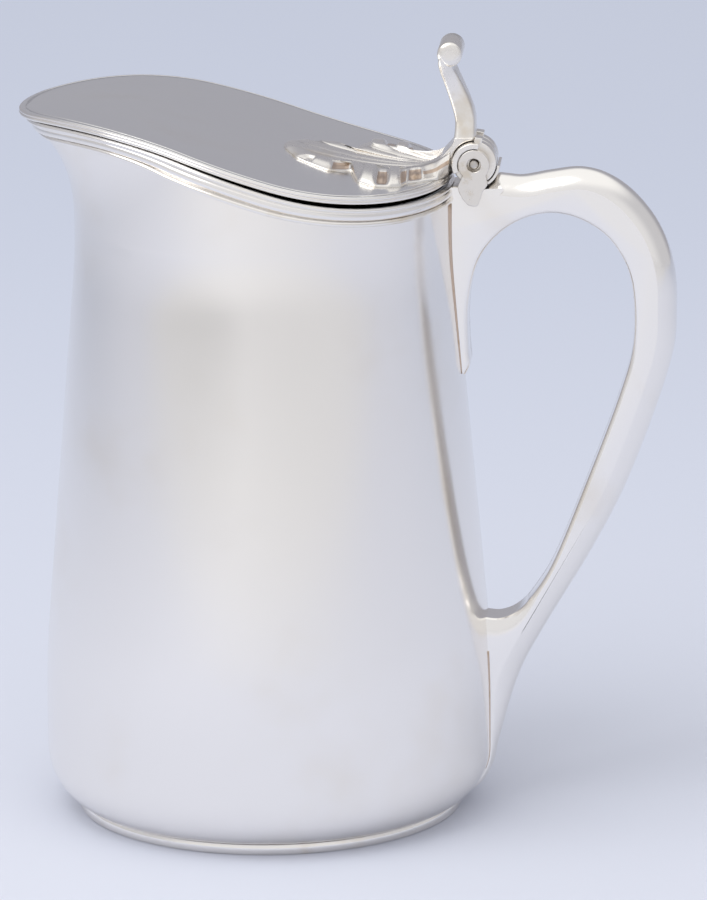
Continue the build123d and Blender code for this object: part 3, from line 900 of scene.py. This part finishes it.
# Side outlines from the pin's centre.
ear_foot = [(-3.0, -3.5), (-3.5, -4.7), (-3.3, -5.9), (-2.4, -7.6), (-1.3, -8.8), (0.1, -9.25), (0.9, -8.9),
            (1.3, -7.7), (1.8, -6.0), (2.5, -5.0), (3.0, -4.3)]
barrel_stem = [(0, -5.2), (1.8, -5.2), (1.8, 0), (0, 0)]
bracket_side = [(-4.9, -5.1), (-4.9, -8.4), (-3.6, -9.6), (0.2, -9.6), (0.9, -8.8), (0.9, -5.1)]

# The pin from end to end: Y and radius.
pin_ends = ((-6.5, 0.55), (-6.35, 0.9), (-6.0, 1.08), (6.0, 1.08), (6.35, 0.9), (6.5, 0.55))


def around_pin(points):
    """Side points given from the pin's centre."""
    return [(pin_x + x, pin_z + z) for x, z in points]


def pierced_block(name, outline, hole, y_from, y_to, soft, material):
    """A block with an outline round the pin's line and a hole for the pin, edges rounded."""
    turns = [atan2(z - pin_z, x - pin_x) for x, z in outline]
    inner = [(pin_x + hole * cos(a), pin_z + hole * sin(a)) for a in turns]
    verts = [(x, y, z) for line, y in ((inner, y_from), (outline, y_from), (outline, y_to), (inner, y_to))
             for x, z in line]
    piece = outward(make_piece(name, verts, ring_faces(4, len(outline))))
    piece.data.materials.append(material)
    return soften(piece, soft)


def both_sides(y_from, y_to, side):
    """A span of Y values on the far side, or its mirror on the near side."""
    return (y_from, y_to) if side > 0 else (-y_to, -y_from)


def make_ear(end, side):
    """An eye on its stem, pierced for the pin."""
    outline = arc(pin_x, pin_z, ear_radius, -40, 224, 34) + around_pin(ear_foot)
    return pierced_block("ear_" + end, outline, ear_hole, *both_sides(ear_near, ear_far, side), ear_soft,
                         ear_silver)


def make_lid_barrel(end, side):
    """A barrel of the lid with its stop lug, and the hood that laps over the ear."""
    span = both_sides(lid_near, lid_far, side)
    barrel = side_block("barrel_" + end, barrel_side, *span, barrel_soft, cast_silver)
    hood_side = arc(pin_x, pin_z, barrel_radius, hood_from, hood_to, 20)
    hood_side += arc(pin_x, pin_z, ear_radius + barrel_gap, hood_to, hood_from, 20)
    hood_span = both_sides(lid_far - hood_lap, ear_far, side)
    hood = side_block("hood_" + end, hood_side, *hood_span, hood_soft, cast_silver)
    turn = radians(lug_turn)
    low, half = barrel_radius - 0.5, lug_half_width
    corners = [(r * cos(turn) - w * sin(turn), r * sin(turn) + w * cos(turn))
               for r, w in ((low, -half), (lug_reach, -half), (lug_reach, half), (low, half))]
    lug = side_block("lug_" + end, around_pin(corners), *span, lug_soft, cast_silver)
    return join("lid_barrel_" + end, [barrel, hood, lug])


barrel_side = arc(pin_x, pin_z, barrel_radius, 0, 354, 59)
for side, end in ((-1, "near"), (1, "far")):
    place_piece(make_ear(end, side), "pitcher", "hinge_ear_" + end)
    place_piece(make_lid_barrel(end, side), "lid", "lid_knuckle_" + end)

barrel = side_block("fixed_barrel", barrel_side, -fixed_half, fixed_half, barrel_soft, cast_silver)
stem_half = fixed_half - stem_inset
stem = side_block("fixed_root", around_pin(barrel_stem), -stem_half, stem_half, stem_soft, cast_silver)
place_piece(join("fixed_barrels", [barrel, stem]), "pitcher", "fixed_knuckle")

cheek_side = arc(pin_x, pin_z, stop_radius, -58, stop_turn, 14)
cheek_side += arc(pin_x, pin_z, barrel_radius + barrel_gap, stop_turn, -58, 14)
cheek = side_block("stop_cheek", cheek_side, -lid_far, lid_far, cheek_soft, cast_silver)
place_piece(cheek, "pitcher", "hinge_stop")

bracket = side_block("bracket_block", around_pin(bracket_side), -ear_near, ear_near, barrel_soft, cast_silver)
place_piece(bracket, "pitcher", "hinge_bracket")

pin = capped("pin_rod", [round_ring(pin_x, pin_z, radius, y, 32) for y, radius in pin_ends], 32, pin_steel)
place_piece(pin, "pitcher", "hinge_pin")


# The handle.  Two stamped silver halves, soldered along the middle: a rounded crown on the back that
# meets the flat sides in a crease, and a thin soft edge round the finger gap.

half_thick = 5.0
crown_depth = 4.0
crown_turn = 66
crease_turn = 14
edge_round = 1.2
skin_bite = 0.6
back_line = [(48.3, 140.4), (49.9, 141.5), (51.4, 142.8), (53.6, 142.7), (57, 142.5), (63, 143.6),
             (69.5, 144.3), (75.5, 142.7), (81.3, 138.5), (86.4, 131.8), (89.4, 123.8), (90.2, 114.5),
             (88.9, 101), (80.1, 75.8), (71.5, 58.4), (61.9, 42.2), (55.5, 30.1), (51.2, 16.0),
             (49.7, 9.6), (47.6, 5.5), (46.1, 4.2), (44.8, 4.3)]
gap_line = [(47.9, 43.5), (51.5, 43.3), (55.3, 45.0), (59, 49.2), (63.6, 57.2), (70.6, 74.7), (77.7, 93.9),
            (80.8, 106), (80.4, 119.6), (76.4, 128.2), (70.3, 133), (63.2, 134.8), (56.3, 133.2),
            (50.7, 129.2), (46.8, 123.2), (44.9, 114), (44.9, 105), (45.2, 101.0), (44.2, 98.6)]
crown_from_x, crown_full_x = 48.3, 52.5
joint_z = 60
web_depth = 7.0
web_from_x, web_full_x = 60, 49
belly_heights = (10, 14, 20, 27, 33)
neck_heights = (100, 108, 116, 124, 131)
neck_top_heights = (136, 140.6)
hinge_clearance = 0.3
seam_radius = 0.24
seam_rings = 20
seam_heights = ((9, 36, seam_radius), (99, 137, 2 * seam_radius))


def inset(line, depth, shares):
    """A side line moved into the metal, which lies to the right of its direction."""
    out = []
    for k, (x, z) in enumerate(line):
        nx, nz = side_normal(line, k)
        out.append((x + nx * depth * shares[k], z + nz * depth * shares[k]))
    return out


def crown_share(x, z):
    """How much of the crown's depth is left where the handle runs out on the body and at the hinge."""
    if z < joint_z:
        return min(max(0.8 * (x - body_radius(z)) / crown_depth, 0.02), 1)
    return 0.1 + 0.9 * ease(crown_from_x, crown_full_x, x)


def web_share(x, z):
    """How much deeper the soft edge is in the web at the lower joint."""
    return 1 + (web_depth / edge_round - 1) * ease(web_from_x, web_full_x, x) if z < joint_z else 1


def add_strip(verts, faces, line, section, shares):
    """Adds a section drawn along a side line, and gives the rows of its two rims."""
    first, count = len(verts), len(line)
    for d, y in section:
        verts.extend((x, y, z) for x, z in inset(line, d, shares))
    for k in range(len(section) - 1):
        for i in range(count - 1):
            a = first + k * count + i
            faces.append((a, a + 1, a + 1 + count, a + count))
    for end in (0, count - 1):
        faces.append([first + k * count + end for k in range(len(section))])
    last = first + (len(section) - 1) * count
    return [first + i for i in range(count)], [last + i for i in range(count)]


def make_handle():
    """The crown and the soft edge, joined by two flat sides that run into the body."""
    back, gap = smooth_line(back_line, 6), smooth_line(gap_line, 6)
    widest = radians(crown_turn)
    crown = [(crown_depth * (1 - cos(a)) / (1 - cos(widest)), half_thick * sin(a) / sin(widest))
             for a in (widest * k / 10 for k in range(-10, 11))]
    soft = [(edge_round * (1 - cos(radians(a))), half_thick - edge_round + edge_round * sin(radians(a)))
            for a in range(0, 91, 18)]
    soft = [(d, -y) for d, y in reversed(soft)] + soft
    verts, faces = [], []
    crown_rims = add_strip(verts, faces, back, crown, [crown_share(x, z) for x, z in back])
    soft_rims = add_strip(verts, faces, gap, soft, [web_share(x, z) for x, z in gap])
    into_belly = [(body_radius(z) - skin_bite, z) for z in belly_heights]
    into_neck = [(body_radius(z) - skin_bite, z) for z in neck_heights]
    into_neck += [(neck_radius - skin_bite, z) for z in neck_top_heights]
    into_neck += arc(pin_x, pin_z, stop_radius + hinge_clearance, -108, -66, 6)
    joints, tops = [], []
    for y, crown_rim, soft_rim in zip((-half_thick, half_thick), crown_rims, soft_rims):
        low = len(verts)
        mid = low + len(into_belly)
        verts.extend((x, y, z) for x, z in into_belly + into_neck)
        belly_rim, neck_rim = list(range(low, mid)), list(range(mid, len(verts)))
        faces.append(crown_rim + belly_rim + soft_rim + neck_rim)
        joints.append([crown_rim[-1]] + belly_rim + [soft_rim[0]])
        tops.append([soft_rim[-1]] + neck_rim + [crown_rim[0]])
    for near, far in (joints, tops):
        for i in range(len(near) - 1):
            faces.append((near[i], near[i + 1], far[i + 1], far[i]))
    piece = outward(make_piece("handle_casting", verts, faces))
    piece.data.set_sharp_from_angle(angle=radians(crease_turn))
    piece.data.materials.append(handle_silver)
    return piece


def solder_line(name, z_from, z_to, y, radius):
    """A thin brown line of solder, wider towards its top, where the handle's side meets the body."""
    rings = []
    for k in range(seam_rings + 1):
        z = z_from + (z_to - z_from) * k / seam_rings
        x = sqrt(body_radius(min(z, neck_start)) ** 2 - y * y)
        r = radius * (0.3 + 0.7 * k / seam_rings)
        rings.append([(x + r * cos(pi * i / 4), y + r * sin(pi * i / 4), z) for i in range(8)])
    return capped(name, rings, 8, brown_silver)


handle_silver = silver("handle_silver", (0.93, 0.905, 0.875), 0.12, 0.4, 40.0)
handle = join("handle_casting", [make_handle()] + [
    solder_line("seam", low, high, side * half_thick, width) for side in (-1, 1)
    for low, high, width in seam_heights])
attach(handle, "pitcher")
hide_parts("handle_near_half", "handle_far_half")
